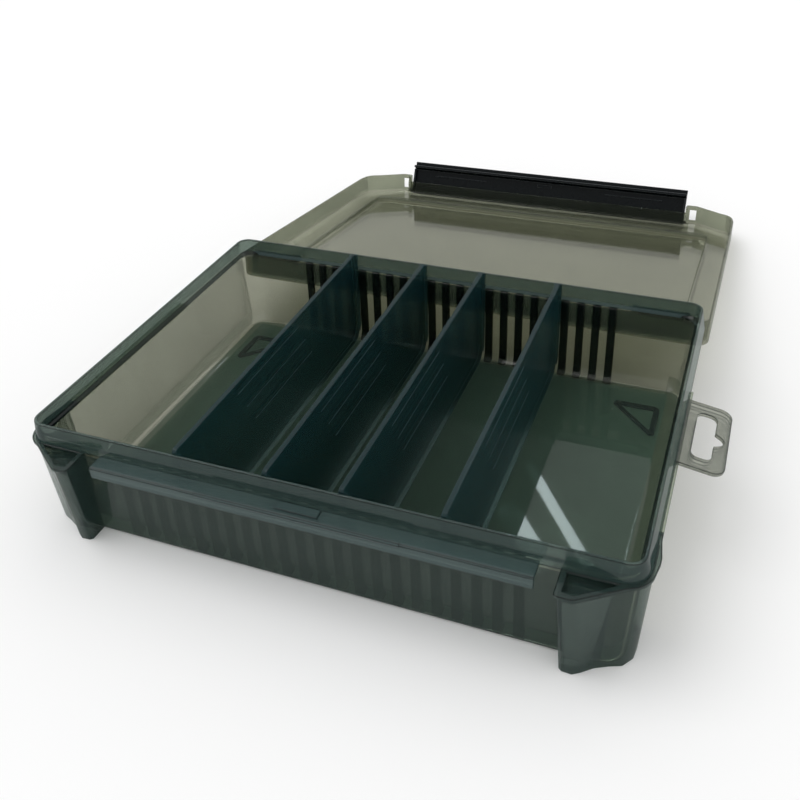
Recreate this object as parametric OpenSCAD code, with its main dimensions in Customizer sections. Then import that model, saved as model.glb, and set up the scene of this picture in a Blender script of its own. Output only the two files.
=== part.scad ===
// Fishing lure case: a deep translucent tray with corner posts, a hinged lid laid open
// behind it, a long snap latch on the lid's front edge and four lift-out dividers.
// Frame: X across, Y towards the hinge, Z up, the tray's underside at Z = 0.

/* [Tray] */
// Width over the tray's lip
lip_w = 247; // [246:0.5:248]
// Depth over the tray's lip
lip_d = 173; // [172:0.5:174]
// Height of the tray, base to the top of its lip
tray_h = 50; // [45:1:60]
// Height of the lip above the ledge that the lid closes on
lip_h = 8; // [6:0.5:10]
// Wall thickness of the mouldings
wall = 1.8; // [1.4:0.1:2.2]
// Radius between the walls and the floor, inside
floor_r = 7; // [4:0.5:9]

/* [Ledge and posts] */
// Overall width over the side ledges and the lid
case_w = 254.6; // [253:0.1:256]
// How far the front posts stand out, from the middle of the case
nose_y = 99.9; // [98:0.1:102]
// Front edge of the latch rail, from the middle of the case
rail_y = 95; // [94:0.1:96]
// Length of the latch rail
rail_w = 178; // [160:1:186]
// Height of the latch rail's face
rail_h = 5.3; // [4:0.1:6]

/* [Divider slots] */
// Ribs along each long wall
ribs = 22; // [18:1:24]
// Spacing of the ribs
rib_pitch = 7.8; // [7.6:0.1:7.9]
// Width of one rib
rib_w = 3.8; // [3.4:0.1:4]
// Slots that hold a divider, counted from the left
slots = [3, 8, 12, 17];

/* [Dividers] */
// Thickness of a divider's blade
blade = 2; // [1.6:0.1:2.4]
// How far a divider stands above the lip
proud = 1.7; // [0:0.1:2.5]

/* [Lid] */
// Height of the lid's side wall, inside
lid_depth = 11; // [10:0.5:12]
// How far the middle panel of the lid is raised
panel_rise = 3; // [1:0.5:4]
// Angle that the lid opens through until it lies on the table
open_angle = 187.7; // [150:0.1:188]

/* [Latch] */
// Length of the latch
latch_w = 191.2; // [180:0.1:191.4]
// Angle that the latch stands out from its closed place
latch_angle = 20; // [0:1:60]

/* [Hidden] */
$fn = 48;
e = 0.01;
smoke = [0.36, 0.41, 0.38, 0.62];
smoke_lid = [0.48, 0.51, 0.46, 0.5];
divider_blue = [0.10, 0.16, 0.18, 0.9];
latch_black = [0.06, 0.06, 0.07];
foot_black = [0.05, 0.06, 0.05];

ledge_z = tray_h - lip_h;      // top of the ledge
ledge_t = 1.6;                 // its thickness
lip_t = 1.2;                   // thickness of the lip's top edge
x_lip = lip_w / 2;
y_lip = lip_d / 2;
x_case = case_w / 2;
x_foot = x_lip + 1.5;          // the lip flares to this by the ledge
y_foot = y_lip + 1.5;
side_draft = 2.6;              // how far each side wall leans in over its height
rear_draft = 2;
x_wall = x_lip - 1.1;          // outer face of the side wall under the ledge
y_front = -y_lip - 0.8;        // outer face of the front wall, upright
y_rear = y_lip - 0.3;          // outer face of the rear wall under the ledge
corner_r = 7;
steps = 5;                     // facets in a quarter turn of a rounded corner

hinge_y = 89;                  // hinge axis, behind the rear wall
hinge_z = ledge_z - 1.5;
pin_r = 1.1;
pin_play = 0.08;               // radial play of every pin in its bore
knuckle_r = 2.2;
hinge_in = 92.8;               // the pin runs from here ...
hinge_out = 115.2;             // ... to here on each side
ear_t = 2.4;
ear_r = 1.9;

rim_z = ledge_z + 0.3;         // lower edge of the closed lid
lid_t = 1.8;                   // thickness of the lid's panel
skirt_t = 1.2;                 // thickness of its side wall
border_z = rim_z + lid_depth;  // underside of the lid's border
top_z = border_z + lid_t;
panel_x = 112.8;               // raised middle panel of the lid, inside faces
panel_front = -77.4;
panel_rear = 77;
front_y = -94.8;               // lid's front wall between the posts
front_low = tray_h - 4.2;      // lower edge of that wall

pivot_y = -96.7;               // latch pivot, on the lid's front edge
pivot_z = tray_h + 3.2;
cheek_x = 96.4;                // inner faces of the lid's cheeks, beside the latch
latch_pin_r = 1;
latch_low = ledge_z - 9.8;     // lower edge of the closed latch

// ---------- outlines ----------

// An arc of points about c from angle a to angle b.
function arc(c, r, a, b, n = steps) =
    [for (i = [0 : n]) c + r * [cos(a + (b - a) * i / n), sin(a + (b - a) * i / n)]];

// A rectangle from -x to x and y0 to y1 with rounded corners, anticlockwise.
function rounded(x, y0, y1, r) = concat(
    arc([x - r, y0 + r], r, -90, 0), arc([x - r, y1 - r], r, 0, 90),
    arc([-x + r, y1 - r], r, 90, 180), arc([-x + r, y0 + r], r, 180, 270));

// The left-hand twin of a right-hand outline, joined to it across X = 0.
function both_sides(right) = concat(
    right, [for (i = [len(right) - 1 : -1 : 0]) [-right[i].x, right[i].y]]);

function unit(v) = v / norm(v);

// An anticlockwise outline moved in by t, mitred at each corner.
function inset(p, t) = [for (i = [0 : len(p) - 1])
    let (a = unit(p[i] - p[(i + len(p) - 1) % len(p)]),
         b = unit(p[(i + 1) % len(p)] - p[i]),
         na = [-a.y, a.x],
         nb = [-b.y, b.x])
    p[i] + t * (na + nb) / (1 + na * nb)];

// Outline of the lid seen from above, right half: the front face, the nose over the
// post, its slanted cheek, the side and the rear corner.
nose = concat(arc([97.9, -nose_y + 1.5], 1.5, 180, 270, 3),
              arc([102.2, -nose_y + 3], 3, -90, -55, 3));
cheek = concat([[118.7, -89.4]], arc([116, -79], 10.6, -65, -15, 5), [[x_case, -75]]);
rear_corner = arc([x_case - corner_r, hinge_y + 1 - corner_r], corner_r, 0, 90);
lid_outline = both_sides(concat([[cheek_x, front_y]], nose, cheek, rear_corner));

// ---------- solids ----------

// A closed skin through rings of the same number of points, lowest ring first.
// Each ring is [z, outline].
module loft(rings) {
    n = len(rings[0][1]);
    points = [for (r = rings) for (q = r[1]) [q.x, q.y, r[0]]];
    sides = [for (k = [0 : len(rings) - 2]) for (i = [0 : n - 1])
        let (a = k * n + i, b = k * n + (i + 1) % n)
        each [[a, a + n, b + n], [a, b + n, b]]];
    low = [for (i = [0 : n - 1]) i];
    high = [for (i = [n - 1 : -1 : 0]) (len(rings) - 1) * n + i];
    polyhedron(points, concat([low], sides, [high]));
}

// The left and right copies of something drawn on the right.
module pair() {
    children();
    mirror([1, 0, 0]) children();
}

// A box given by its lowest and highest corners.
module block(low, high) translate(low) cube(high - low);

// A profile in the YZ plane pushed along X from x0 to x1.
module along_x(x0, x1, profile)
    translate([x0, 0, 0]) rotate([90, 0, 90]) linear_extrude(x1 - x0) polygon(profile);

// Walls of the tray as an outline at height z; t is how far in from the outer face.
function wall_ring(z, t, r) =
    let (f = 1 - z / ledge_z)
    rounded(x_wall - t - side_draft * f, y_front + t, y_rear - t - rear_draft * f, r);

module tray_outside() {
    edge = 2;
    loft(concat(
        [for (a = [0 : 45 : 90]) let (s = edge * (1 - sin(a)))
            [edge * (1 - cos(a)), wall_ring(0, s, corner_r + 1 - s)]],
        [[ledge_z - 0.8, wall_ring(ledge_z, 0, corner_r + 1)]]));
    loft([
        [ledge_z - ledge_t, rounded(x_foot, -y_foot, y_lip, corner_r + 2)],
        [ledge_z, rounded(x_foot, -y_foot, y_lip, corner_r + 2)],
        [tray_h - 0.6, rounded(x_lip, -y_lip, y_lip, corner_r - 1)],
        [tray_h, rounded(x_lip - 0.3, -y_lip + 0.3, y_lip - 0.3, corner_r - 1.3)]]);
}

module tray_inside() loft(concat(
    [for (a = [0 : 22.5 : 90])
        let (z = wall + floor_r * (1 - cos(a)), s = floor_r * (1 - sin(a)))
        [z, wall_ring(z, wall + s, max(corner_r - s, 1.2))]],
    [[ledge_z, wall_ring(ledge_z, wall, corner_r)],
     [tray_h, rounded(x_lip - lip_t, -y_lip + lip_t, y_lip - lip_t, corner_r - 2)],
     [tray_h + 1, rounded(x_lip - lip_t, -y_lip + lip_t, y_lip - lip_t, corner_r - 2)]]));

// Ribs along the front and rear walls; a divider's end slides in between two of them.
module slot_ribs() {
    rib_d = 1.5;
    shrink = 0.35;
    for (i = [0 : ribs - 1]) {
        x = (i - (ribs - 1) / 2) * rib_pitch;
        rear = y_rear - wall;
        along_x(x - rib_w / 2, x + rib_w / 2, [
            [rear - rib_d, ledge_z - 1], [rear + shrink, ledge_z], [rear + shrink, 30],
            [rear - rear_draft + shrink, 1], [rear - rear_draft - rib_d - 2, 1],
            [rear - rear_draft - rib_d, 5]]);
        front = y_front + wall;
        along_x(x - rib_w / 2, x + rib_w / 2, [
            [front - shrink, 1], [front - shrink, ledge_z], [front + rib_d, ledge_z - 1],
            [front + rib_d, 5], [front + rib_d + 2, 1]]);
    }
}

// Plan of a front post at the ledge and at the base, anticlockwise from its inner root:
// its inner side, its nose, the slanted S-shaped cheek and the side face.
post_top = [[97.4, -81], [97.4, -98.2], [98.6, -99], [102.3, -99], [104.6, -97.9],
            [111.6, -93.1], [117.2, -89.2], [122.2, -86.2], [125, -82], [125.8, -76],
            [125.8, -66], [112, -66], [112, -81]];
post_base = [[98.2, -81], [98.6, -93.6], [99.8, -94.6], [103.5, -94.8], [106.1, -93.2],
             [110.4, -89.7], [115, -87.4], [119.4, -85.6], [122.4, -81.4], [123, -76.5],
             [123, -66], [112, -66], [112, -81]];
// The hollow inside the nose, open at the base.
hollow_top = [[99, -88.8], [99, -97], [102.3, -97.4], [113.4, -90], [114.2, -88.8]];
hollow_base = [[99.8, -88.8], [100.2, -92.9], [103.2, -93.2], [108, -89.6], [108.4, -88.8]];

module post_solid() loft([[0, post_base], [ledge_z - 0.5, post_top]]);

module post_hollow() loft([[-1, hollow_base], [ledge_z - 4.8, hollow_top]]);

// Ledge round the post, with a dished top.
post_ledge = concat(
    [[cheek_x, -86]], nose, cheek, [[x_case, -64], [118, -64], [114, -82]]);

post_dish = [[99, -88.6], [99, -97], [102.8, -97.6], [112.6, -91], [115.6, -88.6]];

module post_ledge_plate()
    translate([0, 0, ledge_z - ledge_t]) linear_extrude(ledge_t) polygon(post_ledge);

module post_top_dish() translate([0, 0, ledge_z - 3.2]) linear_extrude(4) polygon(post_dish);

// Side ledge with the hang tab's root, and the tab itself, drooping slightly.
side_ledge_front = -66;
side_ledge_rear = 26;
tab_y0 = -21.5;
tab_y1 = 20;
tab_reach = 16.4;
tab_droop = 10;

module side_ledge() {
    block([x_lip - 3.5, side_ledge_front, ledge_z - ledge_t],
          [x_case, side_ledge_rear, ledge_z]);
}

module hang_tab() translate([x_case - 0.4, 0, ledge_z]) rotate([0, tab_droop, 0])
    translate([0, 0, -ledge_t]) linear_extrude(ledge_t) difference() {
        polygon(concat(
            [[-2, tab_y1], [-2, tab_y0]],
            arc([tab_reach - 5, tab_y0 + 5], 5, -90, 0, 5),
            arc([tab_reach - 5, tab_y1 - 5], 5, 0, 90, 5)));
        polygon(concat(
            arc([5.6, -12], 2.8, 180, 270, 4), arc([8, -12], 2.8, -90, 0, 4),
            [[10.8, -5.4]], arc([11.2, -1.4], 3.2, -60, 60, 5), [[10.8, 2.6]],
            arc([8, 10.5], 2.8, 0, 90, 4), arc([5.6, 10.5], 2.8, 90, 180, 4)));
    }

// Front flange that carries the latch rail, with the raised bar and a small pad.
module latch_rail() {
    x = rail_w / 2;
    face = 1.6;
    bar_x = 41.3;
    pad_x = 8.7;
    along_x(-x, x, [
        [-86, ledge_z], [-rail_y + 0.5, ledge_z], [-rail_y, ledge_z - 0.5],
        [-rail_y, ledge_z - rail_h + 0.3], [-rail_y + 0.3, ledge_z - rail_h],
        [-rail_y + face, ledge_z - rail_h], [-rail_y + face, ledge_z - ledge_t],
        [-86, ledge_z - ledge_t]]);
    along_x(-bar_x, bar_x, [
        [-rail_y + 1.3, ledge_z - 0.4], [-rail_y + 1.1, ledge_z + 0.5],
        [-rail_y + 0.1, ledge_z + 0.5], [-rail_y - 0.3, ledge_z - 0.6],
        [-rail_y + 0.4, ledge_z - 2.4]]);
    block([-pad_x, -92.6, ledge_z - 0.4], [pad_x, -88.4, ledge_z + 0.6]);
}

// Ears and pin of one hinge, on the right.
module hinge_pin() {
    for (x = [hinge_in - ear_t, hinge_out]) {
        along_x(x, x + ear_t, [
            [y_rear - 1, ledge_z], [hinge_y, hinge_z + ear_r], [hinge_y, hinge_z - ear_r],
            [y_rear - 1, hinge_z - ear_r]]);
        translate([x, hinge_y, hinge_z]) rotate([0, 90, 0]) cylinder(r = ear_r, h = ear_t);
    }
    translate([hinge_in - e, hinge_y, hinge_z]) rotate([0, 90, 0])
        cylinder(r = pin_r, h = hinge_out - hinge_in + 2 * e);
}

// Plan of one foot ring: a right triangle with its square corner to the case's corner.
foot_x = 110.4;
foot_y = 66.4;
foot_l = 25;
foot_band = 2.8;
foot_t = 1.1;
foot_in = foot_l - foot_band * (2 + sqrt(2));  // legs of the hole in the ring

module foot_ring(t = foot_t) linear_extrude(t) difference() {
    polygon(concat(
        arc([foot_x - 3, foot_y - 3], 3, 0, 90, 4),
        [[foot_x - foot_l + 4, foot_y], [foot_x - foot_l + 3, foot_y - 2],
         [foot_x - 2, foot_y - foot_l + 3], [foot_x, foot_y - foot_l + 4]]));
    translate([foot_x - foot_band, foot_y - foot_band])
        polygon([[0, 0], [-foot_in, 0], [0, -foot_in]]);
}

module at_foot(sx, sy) mirror([sx < 0 ? 1 : 0, 0, 0]) mirror([0, sy < 0 ? 1 : 0, 0])
    children();

module tray() color(smoke) {
    difference() {
        union() {
            tray_outside();
            pair() post_solid();
            pair() post_ledge_plate();
            pair() side_ledge();
            latch_rail();
        }
        tray_inside();
        pair() post_hollow();
        pair() post_top_dish();
        for (sx = [-1, 1]) for (sy = [-1, 1])
            at_foot(sx, sy) translate([0, 0, -1]) foot_ring(foot_t + 1);
    }
    slot_ribs();
    hang_tab();
    pair() hinge_pin();
}

module foot(sx, sy) color(foot_black) at_foot(sx, sy) foot_ring();

// ---------- lid, drawn closed and swung open ----------

module swing(angle) translate([0, hinge_y, hinge_z]) rotate([-angle, 0, 0])
    translate([0, -hinge_y, -hinge_z]) children();

module lid_outside() {
    translate([0, 0, rim_z]) linear_extrude(top_z - rim_z) polygon(lid_outline);
    out = lid_t * 0.8;
    loft([
        [top_z - 1, rounded(panel_x + out + 0.9, panel_front - out - 0.9, panel_rear + out, 8)],
        [top_z, rounded(panel_x + out + 0.6, panel_front - out - 0.6, panel_rear + out, 8)],
        [top_z + panel_rise - 0.6, rounded(panel_x + out, panel_front - out, panel_rear + out, 8)],
        [top_z + panel_rise, rounded(panel_x + out - 0.6, panel_front - out + 0.6,
                                  panel_rear + out - 0.6, 7.4)]]);
}

module lid_inside() {
    translate([0, 0, rim_z - 1]) linear_extrude(lid_depth + 1)
        polygon(inset(lid_outline, skirt_t));
    loft([[border_z - 0.5, rounded(panel_x + 0.4, panel_front - 0.4, panel_rear, 6)],
          [border_z + panel_rise - 0.4, rounded(panel_x, panel_front, panel_rear, 6)],
          [border_z + panel_rise, rounded(panel_x - 0.4, panel_front + 0.4, panel_rear - 0.4, 5.6)]]);
}

// Knuckle of one hinge, on the right: an open-sided tube that snaps over the pin.
module knuckle() {
    gap = 0.3;
    slit = 0.9;
    x0 = hinge_in + gap;
    x1 = hinge_out - gap;
    difference() {
        union() {
            translate([x0, hinge_y, hinge_z]) rotate([0, 90, 0])
                cylinder(r = knuckle_r, h = x1 - x0);
            block([x0, hinge_y - 0.2, hinge_z], [x1, hinge_y + 1, rim_z + 1]);
        }
        translate([x0 - 1, hinge_y, hinge_z]) rotate([0, 90, 0])
            cylinder(r = pin_r + pin_play, h = x1 - x0 + 2);
        // the open side, narrower than the pin
        block([x0 - 1, hinge_y, hinge_z - slit - 2], [x1 + 1, hinge_y + 4, hinge_z - slit]);
    }
}

module lid_closed() {
    difference() {
        lid_outside();
        lid_inside();
        // the front wall between the posts ends above the tray's rail
        block([-cheek_x, -nose_y, rim_z - 1], [cheek_x, front_y + skirt_t + 1, front_low]);
        // windows beside the latch pivots
        pair() block([98.8, -nose_y - 1, tray_h - 5], [103, -96, tray_h + 2]);
        // room for the tray's hinge ears
        pair() for (x = [hinge_in - ear_t, hinge_out])
            translate([x - 0.3, hinge_y, hinge_z]) rotate([0, 90, 0])
                cylinder(r = ear_r + 0.7, h = ear_t + 0.6);
        pair() translate([96, pivot_y, pivot_z]) rotate([0, 90, 0])
            cylinder(r = latch_pin_r + pin_play, h = 3);
    }
    pair() knuckle();
}

module lid() color(smoke_lid) swing(open_angle) lid_closed();

// ---------- latch, drawn closed ----------

module latch_closed() {
    x = latch_w / 2;
    skin = 1.5;
    face = -nose_y + 0.6;
    back = face + skin;
    low = latch_low;
    high = top_z - 0.2;
    hook_z = ledge_z - rail_h - 0.3;
    // face plate, curled over the pivot at the top, hooked in under the rail
    along_x(-x, x, [
        [face, low + 0.8], [face + 0.6, low], [back, low], [back, hook_z - 1.6],
        [-rail_y + 0.9, hook_z - 1.6], [-rail_y + 1.2, hook_z], [-rail_y - 0.4, hook_z],
        [back, hook_z + 1.2], [back, pivot_z], [pivot_y, pivot_z], [pivot_y + 1.5, pivot_z],
        [pivot_y + 1.4, high - 0.9], [pivot_y + 0.2, high], [face + 1.2, high],
        [face, high - 1.2]]);
    // end caps and two stiffening ribs on the inside
    pair() block([x - 1.2, face + 0.4, hook_z + 1], [x, front_y - 0.4, pivot_z + 1]);
    pair() block([42, back - e, tray_h - 9.4], [80, back + 0.5, tray_h - 8.6]);
    block([-5, back - e, tray_h - 11], [5, back + 0.6, tray_h - 9]);
    // pivot pins that snap into the lid's cheeks
    pair() translate([x - 1, pivot_y, pivot_z]) rotate([0, 90, 0])
        cylinder(r = latch_pin_r, h = 2.4);
}

module latch() color(latch_black) swing(open_angle)
    translate([0, pivot_y, pivot_z]) rotate([-latch_angle, 0, 0])
    translate([0, -pivot_y, -pivot_z]) latch_closed();

// ---------- dividers ----------

module divider(slot) color(divider_blue) {
    mark_z = 24;
    mark_step = 3;
    x = (slot - (ribs - 2) / 2) * rib_pitch;
    gap = 0.4;
    foot_z = wall + 0.1;
    top = tray_h + proud;
    front = y_front + wall + gap;
    rear = y_rear - wall - gap;
    rear_low = rear - rear_draft;
    r = floor_r + gap;
    flange_t = 1.6;
    flange_w = 3.6;
    flange_top = top - 5;
    // blade with its lower corners rounded to the tray's floor
    along_x(x - blade / 2, x + blade / 2, concat(
        arc([front + r, foot_z + r], r, 180, 270, 5),
        arc([rear_low - r, foot_z + r], r, -90, 0, 5),
        [[rear, ledge_z]], arc([rear - 1.5, top - 1.5], 1.5, 0, 90, 4),
        arc([front + 1.5, top - 1.5], 1.5, 90, 180, 4)));
    // end flanges that ride in the slots
    along_x(x - flange_w / 2, x + flange_w / 2, [
        [front, foot_z + r], [front + flange_t, foot_z + r - 3], [front + flange_t, flange_top],
        [front, flange_top]]);
    along_x(x - flange_w / 2, x + flange_w / 2, [
        [rear_low, foot_z + r], [rear, ledge_z], [rear, flange_top],
        [rear - flange_t, flange_top], [rear_low - flange_t, foot_z + r - 3]]);
    // thin moulded lines on both faces
    for (side = [-1, 1]) for (k = [0 : 2])
        translate([x + side * blade / 2, -k * mark_step, mark_z + k * mark_step])
            block([-0.2, -46, 0], [0.2, -22, 0.5]);
}

tray();
lid();
latch();
divider(slots[0]);  // divider_1
divider(slots[1]);  // divider_2
divider(slots[2]);  // divider_3
divider(slots[3]);  // divider_4
foot(-1, -1);  // foot_front_left
foot(1, -1);  // foot_front_right
foot(-1, 1);  // foot_rear_left
foot(1, 1);  // foot_rear_right
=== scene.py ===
"""Lure case: a deep smoke-tinted tray with its lid laid open behind it, a long black
latch on the lid's front edge and four dark lift-out dividers.

Frame: millimetres times MM, X across, Y towards the hinge, Z up, the tray's underside
at Z = 0. Every piece is a numpy surface: outlines joined ring by ring (loft) or an
outline pushed along X or Z (prism); most have their edges rounded by a Bevel modifier.
"""

import math

import bpy
import numpy as np
from mathutils import Matrix, Vector


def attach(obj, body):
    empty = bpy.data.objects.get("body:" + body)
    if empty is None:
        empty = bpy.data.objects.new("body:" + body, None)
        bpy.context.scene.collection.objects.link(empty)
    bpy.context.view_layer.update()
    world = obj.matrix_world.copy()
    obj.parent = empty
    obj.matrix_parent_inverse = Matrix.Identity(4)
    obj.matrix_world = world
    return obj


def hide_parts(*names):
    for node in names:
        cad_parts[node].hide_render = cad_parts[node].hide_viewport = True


MM = 0.001
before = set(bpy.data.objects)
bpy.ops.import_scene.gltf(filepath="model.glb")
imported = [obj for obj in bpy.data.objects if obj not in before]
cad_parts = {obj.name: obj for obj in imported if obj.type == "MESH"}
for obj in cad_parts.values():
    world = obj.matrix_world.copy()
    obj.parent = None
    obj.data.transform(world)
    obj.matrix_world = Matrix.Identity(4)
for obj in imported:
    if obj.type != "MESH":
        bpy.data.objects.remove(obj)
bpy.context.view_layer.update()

# ---------- sizes in millimetres, the same as the part's ----------

X_LIP, Y_LIP, TRAY_H = 123.5, 86.5, 50.0    # outer faces of the lip, height of the tray
X_CASE = 127.3                      # corner ledges and lid
NOSE_Y = 99.9                       # front of the corner posts
RAIL_X, RAIL_Y, RAIL_H = 89.0, 95.0, 5.3    # latch rail: half length, front, height
LEDGE_Z, LEDGE_T = 42.0, 1.6        # ledge round the tray: top and thickness
WALL, FLOOR_R, CORNER_R = 1.8, 7.0, 7.0     # walls, fillet into the floor, inner corners
OUTER_R = CORNER_R + 1
X_WALL, Y_FRONT, Y_REAR = X_LIP - 1.1, -Y_LIP - 0.8, Y_LIP - 0.3    # outer faces at the ledge
SIDE_DRAFT, REAR_DRAFT = 2.6, 2.0   # how far the walls lean in over their height
WALL_MID = WALL / 2                 # what is moulded on the wall is rooted this deep

RIBS, RIB_PITCH, RIB_W, RIB_D = 22, 7.8, 3.8, 1.5
DIVIDER_X = (-54.6, -15.6, 15.6, 54.6)

HINGE_Y, HINGE_Z = 89.0, LEDGE_Z - 1.5
PIN_R, KNUCKLE_R, EAR_R, EAR_T = 1.1, 2.2, 1.9, 2.4
HINGE_IN, HINGE_OUT = 92.8, 115.2   # the ears' faces on each side of the knuckle

RIM_Z = LEDGE_Z + 0.3               # rim of the closed lid
SKIRT_T, LID_T = 1.2, 1.8
BORDER_Z = RIM_Z + 11.0             # inside of the lid's border
TOP_Z = BORDER_Z + LID_T
PANEL_X, PANEL_FRONT, PANEL_REAR, PANEL_RISE = 112.8, -77.4, 77.0, 3.0
FRONT_Y, FRONT_LOW = -94.8, TRAY_H - 4.2    # lid's front wall and its rim
CHEEK_X = 96.4                      # cheeks at the latch's ends
OPEN_ANGLE = 187.7

PIVOT_Y, PIVOT_Z = -96.7, TRAY_H + 3.2
LATCH_X, LATCH_ANGLE = 95.6, 20.0   # half length; how far it stands from its hooked place

# ---------- smaller forms, in millimetres ----------

SIDE_X = 126.2                      # side ledges behind the corners, narrower than the part's
BASE_EDGE = 2.0                     # rounding of the tray's lower edge
BREAK = 0.3                         # small bevels on the ledge and the rail
LIP_T = 1.3                         # the lip's top edge
LEDGE_X, LEDGE_FRONT = X_LIP + 1.8, -Y_LIP - 1.5    # the lip flares to these at the ledge
LEDGE_REAR_SHARE = 0.2              # of the flare's rounding, at the rear
# the lip's rounded top: in from its outer face, down from its top
LIP_EDGE = ((0, 0.55), (0.12, 0.18), (0.4, 0), (0.9, 0), (1.18, 0.18), (1.3, 0.55))
LIP_FOOT = 0.25, 1.6                # the lip thickens by this, this far above the ledge
STEP_EDGE = ((0.35, 0.8), (0.0, -0.2))      # inner step: out from the wall, above the ledge
FLOOR_CORNER = 1.2                  # least radius of the floor's corners

RIB_ROOT, RIB_ROUND = 0.4, 0.6      # depth in the wall, rounding of the edges
# height and depth of a rib: a toe at the floor, a straight run and a sloping top
RIB_PROFILE = ((1.0, RIB_D + 2), (2.2, RIB_D + 1.6), (5.0, RIB_D + 0.1), (7.0, RIB_D),
               (LEDGE_Z - 0.6, RIB_D), (LEDGE_Z - 0.1, RIB_D * 0.7), (LEDGE_Z + 0.1, 0.2))


# ---------- outlines ----------

def arc(cx, cy, r, start, end, n=8):
    """Points (cx + r cos a, cy + r sin a) with a from start to end degrees."""
    a = np.radians(np.linspace(start, end, n + 1))
    return np.stack([cx + r * np.cos(a), cy + r * np.sin(a)], 1)


def rounded(x, y0, y1, r):
    """Rectangle -x..x by y0..y1 with quarter circles of radius r, anticlockwise."""
    n = 10
    return np.concatenate([
        arc(x - r, y0 + r, r, -90, 0, n), arc(x - r, y1 - r, r, 0, 90, n),
        arc(-x + r, y1 - r, r, 90, 180, n), arc(-x + r, y0 + r, r, 180, 270, n)])


def wall_ring(z, inset, r):
    """Outline of the tray's walls at height z, inset from their outer faces. The side and
    rear walls lean in by their draft times 1 - z / LEDGE_Z; the front stands upright."""
    f = 1 - z / LEDGE_Z
    return rounded(X_WALL - inset - SIDE_DRAFT * f, Y_FRONT + inset,
                   Y_REAR - inset - REAR_DRAFT * f, r)


def inset_outline(p, t):
    """Closed anticlockwise outline moved in by t: p + t (na + nb) / (1 + na.nb)."""
    before = p - np.roll(p, 1, 0)
    after = np.roll(p, -1, 0) - p
    a = before / np.linalg.norm(before, axis=1, keepdims=True)
    b = after / np.linalg.norm(after, axis=1, keepdims=True)
    na = np.stack([-a[:, 1], a[:, 0]], 1)
    nb = np.stack([-b[:, 1], b[:, 0]], 1)
    return p + t * (na + nb) / (1 + (na * nb).sum(1, keepdims=True))


def soften(points, r):
    """Closed outline whose corners become the curves (1-t)^2 a + 2t(1-t) p + t^2 b, with
    a and b at most r from the corner p, and short of the middle of its sides."""
    p = np.array(points, float)
    short = 0.45
    towards = lambda q: (q - p) / np.linalg.norm(q - p, axis=1, keepdims=True)
    reach = lambda q: np.minimum(r, short * np.linalg.norm(q - p, axis=1))[:, None]
    before, after = np.roll(p, 1, 0), np.roll(p, -1, 0)
    a = p + towards(before) * reach(before)
    b = p + towards(after) * reach(after)
    t = np.linspace(0, 1, 5)[None, :, None]
    curve = (1 - t) ** 2 * a[:, None] + 2 * t * (1 - t) * p[:, None] + t ** 2 * b[:, None]
    return curve.reshape(-1, 2)


def both_sides(right):
    """Right half of an outline and its left-hand twin, anticlockwise from the right."""
    return np.concatenate([right, right[::-1] * [-1, 1]])


def rays(outline, centre, angles):
    """Where rays centre + t (cos a, sin a) meet a closed outline, at the largest t."""
    tiny, near = 1e-12, 1e-6
    p = np.array(outline, float) - centre
    q = np.roll(p, -1, 0)
    d = np.stack([np.cos(angles), np.sin(angles)], 1)
    e = q - p
    cross = d[:, None, 0] * e[None, :, 1] - d[:, None, 1] * e[None, :, 0]
    cross = np.where(np.abs(cross) < tiny, tiny, cross)
    t = (p[None, :, 0] * e[None, :, 1] - p[None, :, 1] * e[None, :, 0]) / cross
    u = (p[None, :, 0] * d[:, None, 1] - p[None, :, 1] * d[:, None, 0]) / cross
    t = np.where((t > 0) & (u >= -near) & (u <= 1 + near), t, -1)
    return centre + d * t.max(1)[:, None]


# ---------- solids, each a pair (points, faces) ----------

def at_height(outline, z):
    """Outline laid at height z, which may be one number or one per point."""
    return np.column_stack([outline, np.broadcast_to(z, len(outline))])


def outward(points, faces):
    """The solid with its faces turned outwards, by the sign of its volume."""
    volume = 0.0
    for f in faces:
        p = points[list(f)]
        fan = p[:1].repeat(len(f) - 2, 0)
        volume += np.einsum("ij,ij->i", np.cross(p[1:-1], p[2:]), fan).sum()
    return points, (faces if volume > 0 else [tuple(f)[::-1] for f in faces])


def loft(rings, closed=False):
    """Skin through rings of N points each; capped, or joined end to end if closed."""
    k, n = len(rings), len(rings[0])
    points = np.concatenate(rings)
    i = np.arange(n)
    j = (i + 1) % n
    faces = []
    for a in range(k if closed else k - 1):
        b = (a + 1) % k
        faces += np.stack([a * n + i, a * n + j, b * n + j, b * n + i], 1).tolist()
    if not closed:
        faces.append((i[::-1]).tolist())
        faces.append(((k - 1) * n + i).tolist())
    return outward(points, faces)


def prism_x(profile, x0, x1):
    """A closed (y, z) profile pushed along X from x0 to x1."""
    p = np.array(profile, float)
    return loft([np.column_stack([np.full(len(p), x), p]) for x in (x0, x1)])


def prism_z(outline, z0, z1):
    """A closed (x, y) outline pushed up from z0 to z1."""
    p = np.array(outline, float)
    return loft([at_height(p, z0), at_height(p, z1)])


def block(low, high):
    """A box between two corners."""
    (x0, y0, z0), (x1, y1, z1) = low, high
    return prism_z([(x0, y0), (x1, y0), (x1, y1), (x0, y1)], z0, z1)


def rod_x(x0, x1, y, z, r):
    """A round rod along X."""
    n = 32
    return prism_x(arc(y, z, r, 0, 360 * (n - 1) / n, n - 1), x0, x1)


def framed(outer, hole, centre, z0, z1):
    """A plate with a hole: both outlines met by the same rays from a centre."""
    angle = lambda p: np.arctan2(*(np.array(p, float) - centre).T[::-1])
    angles = np.unique(np.round(np.concatenate([angle(outer), angle(hole)]), 4))
    a, b = rays(outer, centre, angles), rays(hole, centre, angles)
    return loft([at_height(a, z1), at_height(a, z0), at_height(b, z0), at_height(b, z1)],
                closed=True)


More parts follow.
